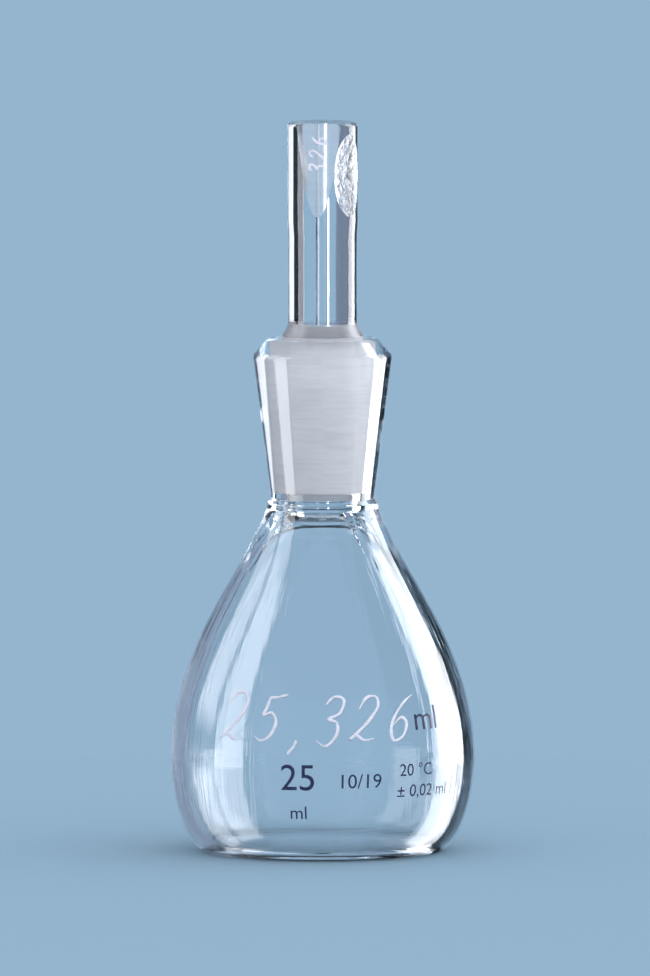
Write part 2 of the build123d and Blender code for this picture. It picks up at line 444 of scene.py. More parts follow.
def stopper_outline(settings):
    """Closed outline of the stopper, from the lower end of its bore round to the same point."""
    stopper = settings.stopper
    at = Heights(settings)
    bore = stopper.capillary_radius
    outside = rounded_path(
        [
            (bore, at.cone_end),
            (at.cone_radius(at.cone_end), at.cone_end),
            (at.cone_radius(at.cone_top), at.cone_top),
            (stopper.rod_radius, at.rod_start),
            (stopper.rod_radius, at.top - stopper.grip_length - stopper.grip_blend),
            (at.grip_radius, at.top - stopper.grip_length),
            (at.grip_radius, at.top),
            (bore, at.top),
        ],
        [
            stopper.cone_end_round,
            settings.neck.edge_round,
            settings.neck.edge_round,
            settings.neck.bevel_round,
            settings.neck.bevel_round,
            stopper.top_round,
        ],
    )
    ground_from = at.cone_end + stopper.clear_tip
    split = next(i for i, (r, z) in enumerate(outside) if z > ground_from)
    cone = [(at.cone_radius(z), z) for z in (ground_from - 0.05 * MM, ground_from + 0.05 * MM)]
    outside[split:split] = cone
    rows = []
    for (r0, z0), (r1, z1) in zip(outside, outside[1:]):
        count = max(1, ceil(hypot(r1 - r0, z1 - z0) / STOPPER_POINT_GAP))
        rows += [(r0 + (r1 - r0) * i / count, z0 + (z1 - z0) * i / count) for i in range(count)]
    rows.append(outside[-1])
    outline = []
    for r, z in rows:
        on_cone = ground_from < z < at.cone_top - 0.05 * MM and r > 2 * bore
        on_slope = at.cone_top < z < at.rod_start + 0.2 * MM
        on_rod = r > 2 * bore and at.rod_start + 1.0 * MM < z < at.top - 1.0 * MM
        ground = 1.0 if on_cone else 0.5 if on_slope else 0.0
        outline.append((r, z, ground, 1.0 if on_rod else 0.0, 0.0))
    count = ceil((at.top - at.cone_end) / STOPPER_POINT_GAP)
    for i in range(1, count):
        outline.append((bore, at.top + (at.cone_end - at.top) * i / count, 0.0, 1.0, 0.0))
    outline.append(outline[0])
    return outline


def outline_object(name, outline):
    """The outline as a line of points in the XZ plane, with its finish stored on each point."""
    mesh = bpy.data.meshes.new(name)
    edges = [(i, i + 1) for i in range(len(outline) - 1)]
    mesh.from_pydata([(point[0], 0.0, point[1]) for point in outline], edges, [])
    for index, attribute in ((2, "ground"), (3, "wavy"), (4, "streaked")):
        layer = mesh.attributes.new(attribute, "FLOAT", "POINT")
        layer.data.foreach_set("value", [point[index] for point in outline])
    outline_obj = bpy.data.objects.new(name, mesh)
    bpy.context.scene.collection.objects.link(outline_obj)
    return outline_obj


class Maker:
    """A node tree in the making: adds nodes with their options and inputs, and names the tree's sockets."""

    def __init__(self, tree):
        self.tree = tree

    def socket(self, name, kind, out=False, default=None):
        made = self.tree.interface.new_socket(name, in_out="OUTPUT" if out else "INPUT", socket_type=kind)
        if default is not None:
            made.default_value = default
        return made

    def add(self, kind, inputs=None, **options):
        node = self.tree.nodes.new(kind)
        for option, value in options.items():
            setattr(node, option, value)
        self.fill(node, inputs or {})
        return node

    def fill(self, node, inputs):
        """Feeds a node's inputs, each under its name or number."""
        for key, value in inputs.items():
            self.feed(node.inputs[key], value)

    def feed(self, socket, value):
        """Links a socket to another, or sets it to a plain value."""
        if isinstance(value, bpy.types.NodeSocket):
            self.tree.links.new(value, socket)
        else:
            socket.default_value = value

    def sum(self, operation, *values, clamp=False):
        """One number worked out from others."""
        node = self.add("ShaderNodeMath", dict(enumerate(values)), operation=operation, use_clamp=clamp)
        return node.outputs[0]

    def plus(self, a, b, clamp=False):
        return self.sum("ADD", a, b, clamp=clamp)

    def minus(self, a, b):
        return self.sum("SUBTRACT", a, b)

    def times(self, first, *others):
        for other in others:
            first = self.sum("MULTIPLY", first, other)
        return first

    def over(self, a, b, clamp=False):
        return self.sum("DIVIDE", a, b, clamp=clamp)

    def above(self, a, b):
        """1 where a is greater than b, otherwise 0."""
        return self.sum("GREATER_THAN", a, b)

    def whole(self, operation, a, b):
        """One whole number worked out from two others."""
        return self.add("FunctionNodeIntegerMath", {0: a, 1: b}, operation=operation).outputs[0]

    def vector(self, operation, *values):
        """One vector worked out from others. DOT_PRODUCT and LENGTH give a number."""
        node = self.add("ShaderNodeVectorMath", operation=operation)
        for socket, value in zip(node.inputs, values):
            self.feed(socket, value)
        return node.outputs["Value" if operation in ("DOT_PRODUCT", "LENGTH") else "Vector"]

    def scaled(self, vector, factor):
        node = self.add("ShaderNodeVectorMath", {"Vector": vector, "Scale": factor}, operation="SCALE")
        return node.outputs["Vector"]

    def mix(self, kind, factor, a, b):
        """a at factor 0 and b at factor 1. kind is FLOAT, VECTOR or RGBA."""
        node = self.add("ShaderNodeMix", data_type=kind)
        wanted = "VALUE" if kind == "FLOAT" else kind
        self.feed(next(s for s in node.inputs if s.name == "Factor" and s.type == "VALUE"), factor)
        self.feed(next(s for s in node.inputs if s.name == "A" and s.type == wanted), a)
        self.feed(next(s for s in node.inputs if s.name == "B" and s.type == wanted), b)
        return next(s for s in node.outputs if s.type == wanted)

    def ramp(self, value, low, high, to_low=0.0, to_high=1.0):
        """A smooth step from to_low to to_high as value goes from low to high."""
        node = self.add(
            "ShaderNodeMapRange",
            {"Value": value, "From Min": low, "From Max": high, "To Min": to_low, "To Max": to_high},
            interpolation_type="SMOOTHSTEP",
        )
        return node.outputs["Result"]

    def split(self, vector):
        return self.add("ShaderNodeSeparateXYZ", {0: vector}).outputs

    def joined(self, x=0.0, y=0.0, z=0.0):
        return self.add("ShaderNodeCombineXYZ", {0: x, 1: y, 2: z}).outputs["Vector"]

    def noise(self, vector, scale=1.0, detail=2.0, roughness=0.5, seed=None):
        """Noise from 0 to 1 over a vector. Each seed has its own pattern."""
        inputs = {"Vector": vector, "Scale": scale, "Detail": detail, "Roughness": roughness}
        if seed is None:
            return self.add("ShaderNodeTexNoise", inputs).outputs["Fac"]
        return self.add("ShaderNodeTexNoise", {**inputs, "W": seed}, noise_dimensions="4D").outputs["Fac"]

    def bump(self, height, strength, distance):
        node = self.add("ShaderNodeBump", {"Height": height, "Strength": strength, "Distance": distance})
        return node.outputs["Normal"]

    def shared(self, name, build, inputs):
        """The shader group of this name, built the first time, with its inputs fed."""
        return self.add("ShaderNodeGroup", inputs, node_tree=bpy.data.node_groups.get(name) or build())

    def position(self):
        return self.add("GeometryNodeInputPosition").outputs["Position"]

    def attribute(self, name, kind="FLOAT"):
        node = self.add("GeometryNodeInputNamedAttribute", {"Name": name}, data_type=kind)
        return node.outputs["Attribute"]

    def stored(self, geometry, name, kind, value):
        """The geometry with a value kept on its points."""
        inputs = {"Geometry": geometry, "Name": name, "Value": value}
        node = self.add("GeometryNodeStoreNamedAttribute", inputs, data_type=kind, domain="POINT")
        return node.outputs["Geometry"]

    def greater(self, a, b):
        """True where a is greater than b."""
        node = self.add("FunctionNodeCompare", {0: a, 1: b}, data_type="FLOAT", operation="GREATER_THAN")
        return node.outputs["Result"]

    def altered(self, kind, geometry, **inputs):
        """The geometry after a node of this kind. Underscores in an input's name stand for spaces."""
        named = {name.replace("_", " "): value for name, value in inputs.items()}
        return self.add(kind, {"Geometry": geometry, **named}).outputs["Geometry"]

    def sharpened(self, geometry, selection):
        """The geometry with the selected edges sharp."""
        inputs = {"Geometry": geometry, "Selection": selection, "Shade Smooth": False}
        return self.add("GeometryNodeSetShadeSmooth", inputs, domain="EDGE").outputs["Geometry"]


def new_tree(name, tree_kind, inputs, outputs):
    """A new node tree with its inputs and outputs named."""
    make = Maker(bpy.data.node_groups.new(name, tree_kind))
    for socket_name, kind, default in inputs:
        make.socket(socket_name, "NodeSocket" + kind, default=default)
    for socket_name, kind in outputs:
        make.socket(socket_name, "NodeSocket" + kind, out=True)
    return make


def geometry_tree(name, inputs):
    return new_tree(name, "GeometryNodeTree", inputs, [("Glass", "Geometry")])


def shader_group(name, inputs, outputs):
    return new_tree(name, "ShaderNodeTree", inputs, outputs)


# Runs of glass are counted round a circle of this radius, and are this many times longer than wide.
RUN_CIRCLE = 7 * MM
RUN_STRETCH = 9.0
SHARP_ANGLE = radians(22)
# Each finish holds where the stored grinding is above its number, unless a later one does.
FINISHES = ((-1.0, "Clear Glass"), (0.35, "Half Ground Glass"), (0.76, "Ground Glass"))


def turned_glass_tree():
    """Turns an outline about Z into a closed shell, and lets the blown parts wander a little."""
    make = geometry_tree(
        "Turned Glass",
        [
            ("Outline", "Geometry", None),
            ("Steps", "Int", 240),
            ("Waviness", "Float", None),
            ("Wave Length", "Float", 0.01),
            ("Seed", "Int", None),
            ("Run Depth", "Float", None),
            ("Run Width", "Float", 0.001),
            ("Run Start", "Float", None),
            ("Run Length", "Float", 0.01),
            ("Run Turn", "Float", None),
            ("Second Run Turn", "Float", None),
            ("Clear Glass", "Material", None),
            ("Ground Glass", "Material", None),
            ("Half Ground Glass", "Material", None),
        ],
    )
    given = make.add("NodeGroupInput").outputs

    points = make.add(
        "GeometryNodeAttributeDomainSize", {"Geometry": given["Outline"]}, component="MESH"
    ).outputs["Point Count"]
    columns = make.whole("ADD", given["Steps"], 1)
    grid = make.add(
        "GeometryNodeMeshGrid", {"Size X": 1.0, "Size Y": 1.0, "Vertices X": columns, "Vertices Y": points}
    ).outputs["Mesh"]
    index = make.add("GeometryNodeInputIndex").outputs["Index"]
    column = make.whole("DIVIDE", index, points)
    row = make.whole("MODULO", index, points)

    def from_outline(kind, value):
        sample = make.add(
            "GeometryNodeSampleIndex",
            {"Geometry": given["Outline"], "Value": value, "Index": row},
            data_type=kind,
            domain="POINT",
        )
        return sample.outputs["Value"]

    shell = grid
    for attribute in ("ground", "wavy", "streaked"):
        shell = make.stored(shell, attribute, "FLOAT", from_outline("FLOAT", make.attribute(attribute)))
    place = from_outline("FLOAT_VECTOR", make.position())
    angle = make.times(make.over(column, given["Steps"]), 2 * pi)
    turned = make.add(
        "ShaderNodeVectorRotate", {"Vector": place, "Angle": angle}, rotation_type="Z_AXIS"
    ).outputs["Vector"]
    shell = make.altered("GeometryNodeSetPosition", shell, Position=turned)
    shell = make.altered("GeometryNodeMergeByDistance", shell, Distance=1e-6)

    position = make.position()
    waves = make.scaled(position, make.over(1.0, given["Wave Length"]))
    noise = make.noise(waves, detail=1.0, roughness=0.4, seed=given["Seed"])
    amount = make.times(make.minus(noise, 0.5), make.attribute("wavy"), given["Waviness"])
    parts = make.split(position)
    outward_way = make.vector("NORMALIZE", make.joined(parts["X"], parts["Y"]))
    around = make.scaled(outward_way, make.over(RUN_CIRCLE, given["Run Width"]))
    down = make.joined(z=make.over(parts["Z"], make.times(given["Run Width"], RUN_STRETCH)))
    run_noise = make.noise(make.vector("ADD", around, down), detail=1.0, seed=given["Seed"])
    gathered = 0.0
    for name in ("Run Turn", "Second Run Turn"):
        side = make.joined(make.sum("SINE", given[name]), make.times(make.sum("COSINE", given[name]), -1.0))
        facing = make.vector("DOT_PRODUCT", outward_way, side)
        gathered = make.sum("MAXIMUM", gathered, make.ramp(facing, 0.90, 0.97))
    run_noise = make.plus(run_noise, make.minus(gathered, 0.95))
    below = make.over(make.minus(given["Run Start"], parts["Z"]), given["Run Length"], clamp=True)
    run = make.ramp(make.minus(run_noise, make.times(below, 0.4)), 0.42, 0.54)
    run = make.times(run, make.attribute("streaked"), given["Run Depth"])
    normal = make.add("GeometryNodeInputNormal").outputs["Normal"]
    moved = make.scaled(normal, make.plus(make.times(amount, 2.0), run))
    shell = make.altered("GeometryNodeSetPosition", shell, Offset=moved)

    edge_angle = make.add("GeometryNodeInputMeshEdgeAngle").outputs["Unsigned Angle"]
    shell = make.sharpened(shell, make.greater(edge_angle, SHARP_ANGLE))
    shell = make.altered("GeometryNodeRealizeInstances", shell)
    ground = make.attribute("ground")
    for least, finish in FINISHES:
        chosen = make.greater(ground, least)
        shell = make.altered("GeometryNodeSetMaterial", shell, Selection=chosen, Material=given[finish])
    make.add("NodeGroupOutput", {"Glass": shell})
    return make.tree


BARREL_STEPS = 360


def pressed_grip_tree():
    """Grinds the front face off a stopper's grip and presses two hollows into it, opposite each other."""
    floats = (
        "Top Height",
        "Grip Radius",
        "Face Depth",
        "Face Length",
        "Face Turn",
        "Hollow Depth",
        "Hollow Length",
        "Hollow Below Top",
        "Hollow Turn",
    )
    make = geometry_tree(
        "Pressed Grip",
        [
            ("Stopper", "Geometry", None),
            *[(name, "Float", None) for name in floats],
            ("Face Glass", "Material", None),
            ("Hollow Glass", "Material", None),
        ],
    )
    given = make.add("NodeGroupInput").outputs

    def moved(geometry, translation=(0.0, 0.0, 0.0), rotation=(0.0, 0.0, 0.0)):
        return make.altered("GeometryNodeTransform", geometry, Translation=translation, Rotation=rotation)

    reach = make.times(given["Grip Radius"], 4.0)
    size = make.joined(reach, reach, make.times(reach, 2.0))
    block = make.add("GeometryNodeMeshCube", {"Size": size}).outputs["Mesh"]
    block = moved(block, make.joined(y=make.times(reach, -0.5)))
    tilt = make.sum("ARCTAN2", given["Face Depth"], given["Face Length"])
    block = moved(block, rotation=make.joined(make.times(tilt, -1.0)))
    run_out = make.minus(given["Top Height"], given["Face Length"])
    block = moved(block, make.joined(y=make.times(given["Grip Radius"], -1.0), z=run_out))
    block = moved(block, rotation=make.joined(z=given["Face Turn"]))
    block = make.altered("GeometryNodeSetMaterial", block, Material=given["Face Glass"])

    half = make.times(given["Hollow Length"], 0.5)
    squares = make.plus(make.times(half, half), make.sum("POWER", given["Hollow Depth"], 2.0))
    barrel_radius = make.over(squares, make.times(given["Hollow Depth"], 2.0))
    away = make.plus(make.minus(given["Grip Radius"], given["Hollow Depth"]), barrel_radius)
    middle = make.joined(
        y=make.times(away, -1.0), z=make.minus(given["Top Height"], given["Hollow Below Top"])
    )
    cutters = [block]
    for extra in (0.0, pi):
        inputs = {"Vertices": BARREL_STEPS, "Radius": barrel_radius, "Depth": reach}
        barrel = make.add("GeometryNodeMeshCylinder", inputs).outputs["Mesh"]
        barrel = moved(barrel, middle, (0.0, pi / 2, 0.0))
        barrel = moved(barrel, rotation=make.joined(z=make.plus(given["Hollow Turn"], extra)))
        cutters.append(make.altered("GeometryNodeSetMaterial", barrel, Material=given["Hollow Glass"]))
    shell = given["Stopper"]
    for cutter in cutters:
        cut = make.add("GeometryNodeMeshBoolean", operation="DIFFERENCE", solver="EXACT")
        make.feed(cut.inputs["Mesh 1"], shell)
        make.feed(cut.inputs["Mesh 2"], cutter)
        shell = make.sharpened(cut.outputs["Mesh"], cut.outputs["Intersecting Edges"])
    make.add("NodeGroupOutput", {"Glass": make.altered("GeometryNodeRealizeInstances", shell)})
    return make.tree


def run_tree(obj, tree, values):
    """Puts the object's mesh through a geometry tree and keeps the plain result."""
    modifier = obj.modifiers.new(tree.name, "NODES")
    modifier.node_group = tree
    for item in tree.interface.items_tree:
        if item.item_type == "SOCKET" and item.in_out == "INPUT" and item.name in values:
            modifier[item.identifier] = values[item.name]
    graph = bpy.context.evaluated_depsgraph_get()
    mesh = bpy.data.meshes.new_from_object(
        obj.evaluated_get(graph), preserve_all_data_layers=True, depsgraph=graph
    )
    if not mesh.polygons:
        raise RuntimeError(f"{tree.name} made no faces for {obj.name}")
    obj.modifiers.remove(modifier)
    obj.data = mesh
    return obj


def outward(obj):
    """Turns a closed shell's faces outwards if it is inside out."""
    work = bmesh.new()
    work.from_mesh(obj.data)
    if work.calc_volume(signed=True) < 0:
        bmesh.ops.reverse_faces(work, faces=work.faces)
        work.to_mesh(obj.data)
    work.free()


def grinding_group():
    """Level lines and grain that fine grinding leaves. Gives a height, a roughness and a tone."""
    make = shader_group(
        "Fine Grinding",
        [
            ("Vector", "Vector", None),
            ("Line Spacing", "Float", 0.00035),
            ("Roughness", "Float", 0.5),
            ("Spread", "Float", 0.12),
        ],
        [("Height", "Float"), ("Roughness", "Float"), ("Tone", "Float")],
    )
    given = make.add("NodeGroupInput").outputs
    parts = make.split(given["Vector"])
    around = make.times(make.sum("ARCTAN2", parts["X"], parts["Y"]), 0.9)
    along = make.joined(around, 0.0, make.over(parts["Z"], given["Line Spacing"]))
    lines = make.times(make.noise(along, detail=3.0, roughness=0.6), 0.6)
    grain = make.noise(given["Vector"], scale=9000.0)
    clouds = make.noise(given["Vector"], scale=260.0)
    height = make.plus(lines, make.times(grain, 0.4))
    shift = make.minus(make.plus(lines, make.times(clouds, 0.4)), 0.5)
    rough = make.plus(given["Roughness"], make.times(shift, given["Spread"]), clamp=True)
    tone = make.plus(1.0, make.times(shift, 0.5))
    make.add("NodeGroupOutput", {"Height": height, "Roughness": rough, "Tone": tone})
    return make.tree


def handling_group():
    """The faint film and dust of handling. Gives a roughness and a film mask."""
    make = shader_group(
        "Handling Film",
        [
            ("Vector", "Vector", None),
            ("Roughness", "Float", 0.0),
            ("Film", "Float", 0.05),
            ("Patch Size", "Float", 0.008),
        ],
        [("Roughness", "Float"), ("Mask", "Float")],
    )
    given = make.add("NodeGroupInput").outputs
    near = make.scaled(given["Vector"], make.over(1.0, given["Patch Size"]))
    mask = make.ramp(make.noise(near, detail=3.0), 0.56, 0.74)
    rough = make.plus(given["Roughness"], make.times(mask, given["Film"]), clamp=True)
    make.add("NodeGroupOutput", {"Roughness": rough, "Mask": mask})
    return make.tree


def streak_group():
    """Upright streaks that blowing leaves in a wall. Gives a height from 0 to 1."""
    make = shader_group(
        "Blown Streaks",
        [
            ("Vector", "Vector", None),
            ("Count Round", "Float", 9.0),
            ("Length", "Float", 0.016),
        ],
        [("Height", "Float")],
    )
    given = make.add("NodeGroupInput").outputs
    parts = make.split(given["Vector"])
    outward_way = make.vector("NORMALIZE", make.joined(parts["X"], parts["Y"]))
    around = make.scaled(outward_way, given["Count Round"])
    upright = make.joined(z=make.over(parts["Z"], given["Length"]))
    streaks = make.noise(make.vector("ADD", around, upright), detail=3.0, roughness=0.55)
    make.add("NodeGroupOutput", {"Height": streaks})
    return make.tree


def new_material(name):
    """A material with its Principled shader and the object's own coordinates."""
    material = bpy.data.materials.new(name)
    material.use_nodes = True
    material.node_tree.nodes.clear()
    make = Maker(material.node_tree)
    shader = make.add("ShaderNodeBsdfPrincipled")
    output = make.add("ShaderNodeOutputMaterial", {"Surface": shader.outputs["BSDF"]})
    place = make.add("ShaderNodeTexCoord").outputs["Object"]
    return material, make, shader, output, place


def new_glass(settings, name, clearness):
    """A glass that lets this share of the light through and takes on a colour where it is deep."""
    glass = settings.glass
    material, make, shader, output, place = new_material(name)
    make.fill(shader, {"Transmission Weight": clearness, "IOR": glass.refraction})
    inputs = {"Color": (*glass.depth_colour, 1.0), "Density": glass.depth_density}
    depth = make.add("ShaderNodeVolumeAbsorption", inputs)
    make.feed(output.inputs["Volume"], depth.outputs["Volume"])
    return material, make, shader, place


def clear_glass(settings):
    """Fire-polished clear glass with a trace of handling."""
    if "clear_glass" in bpy.data.materials:
        return bpy.data.materials["clear_glass"]
    glass = settings.glass
    material, make, shader, place = new_glass(settings, "clear_glass", 1.0)
    film = make.shared("Handling Film", handling_group, {"Vector": place, "Film": 0.03}).outputs
    tone = make.minus(1.0, make.times(film["Mask"], 0.012))
    colour_input = make.scaled(tuple(glass.tint), tone)
    streaked = make.add("ShaderNodeAttribute", attribute_name="streaked").outputs["Fac"]
    streaks = make.shared("Blown Streaks", streak_group, {"Vector": place}).outputs
    throat_end = Heights(settings).throat_end
    upper = make.ramp(make.split(place)["Z"], throat_end - 9 * MM, throat_end - 2 * MM)
    height = make.times(streaks["Height"], make.times(streaked, make.minus(1.0, upper)))
    bump = make.bump(height, 1.0, glass.streak_depth)
    make.fill(shader, {"Base Color": colour_input, "Roughness": film["Roughness"], "Normal": bump})
    return material


def ground_glass(settings, name, base):
    """Finely ground glass of the joint, with level grinding lines, in the given base colour: whitish on the
    socket, and on the cone a darker grey that is painted shade inside the neck.
    """
    if name in bpy.data.materials:
        return bpy.data.materials[name]
    glass = settings.glass
    material, make, shader, place = new_glass(settings, name, glass.ground_clearness)
    inputs = {"Vector": place, "Roughness": glass.ground_roughness}
    grinding = make.shared("Fine Grinding", grinding_group, inputs).outputs
    colour_input = make.scaled(tuple(base), grinding["Tone"])
    bump = make.bump(grinding["Height"], 0.25, 0.03 * MM)
    make.fill(shader, {"Base Color": colour_input, "Roughness": grinding["Roughness"], "Normal": bump})
    return material


def pressed_glass(settings):
    """Matt, mottled glass of the pressed hollows."""
    if "pressed_glass" in bpy.data.materials:
        return bpy.data.materials["pressed_glass"]
    glass = settings.glass
    material, make, shader, place = new_glass(settings, "pressed_glass", glass.pressed_clearness)
    mottle = make.noise(place, scale=1100.0, detail=3.0)
    rough = make.ramp(mottle, 0.38, 0.66, glass.pressed_roughness * 0.6, glass.pressed_roughness * 1.5)
    colour_input = make.scaled(tuple(glass.ground_colour), make.ramp(mottle, 0.3, 0.7, 0.88, 1.04))
    bump = make.bump(mottle, 0.8, 0.3 * MM)
    make.fill(shader, {"Base Color": colour_input, "Roughness": rough, "Normal": bump})
    return material


def face_glass(settings):
    """Lightly matt glass of the stopper's ground face and of its slope. What lies behind it blurs."""
    if "face_glass" in bpy.data.materials:
        return bpy.data.materials["face_glass"]
    glass = settings.glass
    material, make, shader, place = new_glass(settings, "face_glass", glass.face_clearness)
    inputs = {"Vector": place, "Roughness": glass.face_roughness, "Spread": 0.1}
    grinding = make.shared("Fine Grinding", grinding_group, inputs).outputs
    colour_input = make.scaled(tuple(glass.ground_colour), grinding["Tone"])
    make.fill(shader, {"Base Color": colour_input, "Roughness": grinding["Roughness"]})
    return material


def scribed_line(settings):
    """A line scribed in glass: a whitish, rough furrow, weaker in places."""
    if "scribed_line" in bpy.data.materials:
        return bpy.data.materials["scribed_line"]
    material, make, shader, _, place = new_material("scribed_line")
    chips = make.noise(place, scale=2600.0, detail=3.0)
    colour_input = make.scaled(tuple(settings.marks.scribed_colour), make.ramp(chips, 0.3, 0.65, 0.86, 1.03))
    rough = make.ramp(chips, 0.3, 0.7, 0.45, 0.8)
    bump = make.bump(chips, 0.5, 0.06 * MM)
    make.fill(shader, {"Base Color": colour_input, "Roughness": rough, "Normal": bump})
    return material


def fired_enamel(settings):
    """Dark blue enamel fired on the glass, a little thin and matt in places."""
    if "fired_enamel" in bpy.data.materials:
        return bpy.data.materials["fired_enamel"]
    material, make, shader, _, place = new_material("fired_enamel")
    thin = make.noise(place, scale=1800.0, detail=4.0)
    colour_input = make.scaled(tuple(settings.marks.enamel_colour), make.ramp(thin, 0.45, 0.75, 0.9, 2.2))
    rough = make.ramp(thin, 0.3, 0.7, 0.28, 0.5)
    bump = make.bump(thin, 0.3, 0.02 * MM)
    make.fill(shader, {"Base Color": colour_input, "Roughness": rough, "Normal": bump})
    return material


def radius_at(outline, height):
    """Outer radius of the bottle's body at a height."""
    points = [(point[1], point[0]) for point in outline[: len(outline) // 2]]
    for (z0, r0), (z1, r1) in zip(points, points[1:]):
        if z0 <= height <= z1 and z1 > z0:
            return r0 + (r1 - r0) * (height - z0) / (z1 - z0)
    raise RuntimeError(f"the bottle has no outer wall at {height}")


def on_body(outline, turn_at, across, height, lift):
    """The point on the bottle's wall at a height, so far across from a turn, lifted off the glass."""
    r = radius_at(outline, height)
    angle = turn_at + across / r
    return Vector((sin(angle) * (r + lift), -cos(angle) * (r + lift), height))


# The strokes of each sign as points (across, up), in shares of the sign's height.
DIGIT_STROKES = {
    "0": [
        [
            (0.62, 0.98), (0.25, 0.86), (0.08, 0.45), (0.28, 0.04), (0.62, 0.1), (0.8, 0.5),
            (0.72, 0.86), (0.52, 0.99),
        ],
    ],
    "1": [
        [(0.28, 0.66), (0.46, 0.84), (0.6, 1.02), (0.54, 0.7), (0.47, 0.32), (0.42, -0.02)],
    ],
    "2": [
        [
            (0.14, 0.74), (0.3, 0.98), (0.62, 0.99), (0.74, 0.76), (0.52, 0.44), (0.2, 0.16),
            (0.02, 0.05), (0.22, 0.14), (0.5, 0.03), (0.84, 0.06),
        ],
    ],
    "3": [
        [
            (0.2, 0.84), (0.4, 1), (0.7, 0.93), (0.66, 0.66), (0.38, 0.54), (0.64, 0.46), (0.7, 0.2),
            (0.46, -0.02), (0.14, 0.1),
        ],
    ],
    "4": [
        [(0.48, 1), (0.3, 0.64), (0.08, 0.36), (0.4, 0.32), (0.84, 0.36)],
        [(0.68, 0.7), (0.6, 0.34), (0.54, -0.1)],
    ],
    "5": [
        [
            (0.36, 0.96), (0.3, 0.72), (0.24, 0.56), (0.5, 0.62), (0.7, 0.42), (0.6, 0.12), (0.32, 0),
            (0.08, 0.1),
        ],
        [(0.34, 0.95), (0.58, 0.96), (0.92, 1.02)],
    ],
    "6": [
        [
            (0.7, 0.98), (0.36, 0.76), (0.14, 0.36), (0.3, 0.02), (0.62, 0.1), (0.66, 0.38),
            (0.42, 0.5), (0.18, 0.32),
        ],
    ],
    "7": [
        [(0.16, 0.92), (0.46, 0.96), (0.84, 0.98), (0.6, 0.56), (0.4, -0.04)],
    ],
    "8": [
        [
            (0.66, 0.86), (0.44, 1), (0.26, 0.8), (0.5, 0.54), (0.62, 0.24), (0.38, 0), (0.16, 0.22),
            (0.46, 0.52), (0.72, 0.78), (0.62, 0.92),
        ],
    ],
    "9": [
        [
            (0.7, 0.8), (0.46, 0.98), (0.24, 0.76), (0.4, 0.56), (0.68, 0.72), (0.7, 0.9), (0.62, 0.4),
            (0.46, -0.06),
        ],
    ],
    ",": [
        [(0.26, 0.1), (0.24, -0.02), (0.08, -0.22)],
    ],
}


def written_strokes(text, height, pitch, slant):
    """Strokes of a hand-written number, as lists of (across, up), centred across."""
    strokes, at = [], 0.0
    for i, sign in enumerate(text):
        rise = height * 0.05 * sin(1.7 * i + 0.4)
        size = height * (1.0 + 0.05 * sin(2.3 * i + 1.1))
        for stroke in DIGIT_STROKES[sign]:
            strokes.append([(at + size * (0.72 * u + slant * v), rise + size * v) for u, v in stroke])
        at += pitch * (0.62 if sign == "," else 1.0)
    middle = at / 2
    return [[(u - middle, v) for u, v in stroke] for stroke in strokes]


def scribed_tree():
    """Lays a low rounded furrow along each stroke, thinner at its ends, flat to the glass it lies on."""
    make = geometry_tree(
        "Scribed Line",
        [
            ("Strokes", "Geometry", None),
            ("Width", "Float", 0.0003),
            ("Flatness", "Float", 0.85),
            ("Seed", "Int", None),
            ("Line", "Material", None),
        ],
    )
    given = make.add("NodeGroupInput").outputs
    curve = make.add("GeometryNodeMeshToCurve", {"Mesh": given["Strokes"]}).outputs["Curve"]
    smooth = make.add("GeometryNodeCurveSplineType", {"Curve": curve}, spline_type="CATMULL_ROM")
    inputs = {"Curve": smooth.outputs["Curve"], "Length": make.times(given["Width"], 0.45)}
    curve = make.add("GeometryNodeResampleCurve", inputs, mode="LENGTH").outputs["Curve"]
    position = make.position()
    curve = make.stored(curve, "centre", "FLOAT_VECTOR", position)
    along = make.add("GeometryNodeSplineParameter").outputs["Factor"]
    ends = make.times(make.ramp(along, 0.0, 0.1, 0.45, 1.0), make.ramp(along, 0.86, 1.0, 1.0, 0.3))
    wander = make.noise(position, scale=900.0, seed=given["Seed"])
    press = make.times(ends, make.ramp(wander, 0.3, 0.7, 0.72, 1.18))
    inputs = {"Resolution": 10, "Radius": make.times(given["Width"], 0.5)}
    profile = make.add("GeometryNodeCurvePrimitiveCircle", inputs).outputs["Curve"]
    inputs = {"Curve": curve, "Profile Curve": profile, "Scale": press, "Fill Caps": True}
    tube = make.add("GeometryNodeCurveToMesh", inputs).outputs["Mesh"]
    face = make.attribute("facing", "FLOAT_VECTOR")
    away = make.vector("SUBTRACT", position, make.attribute("centre", "FLOAT_VECTOR"))
    outward_part = make.vector("DOT_PRODUCT", away, face)
    pull = make.scaled(face, make.times(outward_part, given["Flatness"], -1.0))
    tube = make.altered("GeometryNodeSetPosition", tube, Offset=pull)
    tube = make.altered("GeometryNodeRealizeInstances", tube)
    tube = make.altered("GeometryNodeSetMaterial", tube, Material=given["Line"])
    make.add("NodeGroupOutput", {"Glass": tube})
    return make.tree


def strokes_object(name, strokes, place):
    """Strokes laid on glass as lines of points.

    place turns (across, up) into a point and the way it faces."""
    points, edges, facing = [], [], []
    for stroke in strokes:
        start = len(points)
        for across, up in stroke:
            point, normal = place(across, up)
            points.append(point)
            facing.append(normal)
        edges += [(start + i, start + i + 1) for i in range(len(stroke) - 1)]
    mesh = bpy.data.meshes.new(name)
    mesh.from_pydata(points, edges, [])
    layer = mesh.attributes.new("facing", "FLOAT_VECTOR", "POINT")
    layer.data.foreach_set("vector", [part for normal in facing for part in normal])
    strokes_obj = bpy.data.objects.new(name, mesh)
    bpy.context.scene.collection.objects.link(strokes_obj)
    return strokes_obj


SLICE = 0.3 * MM


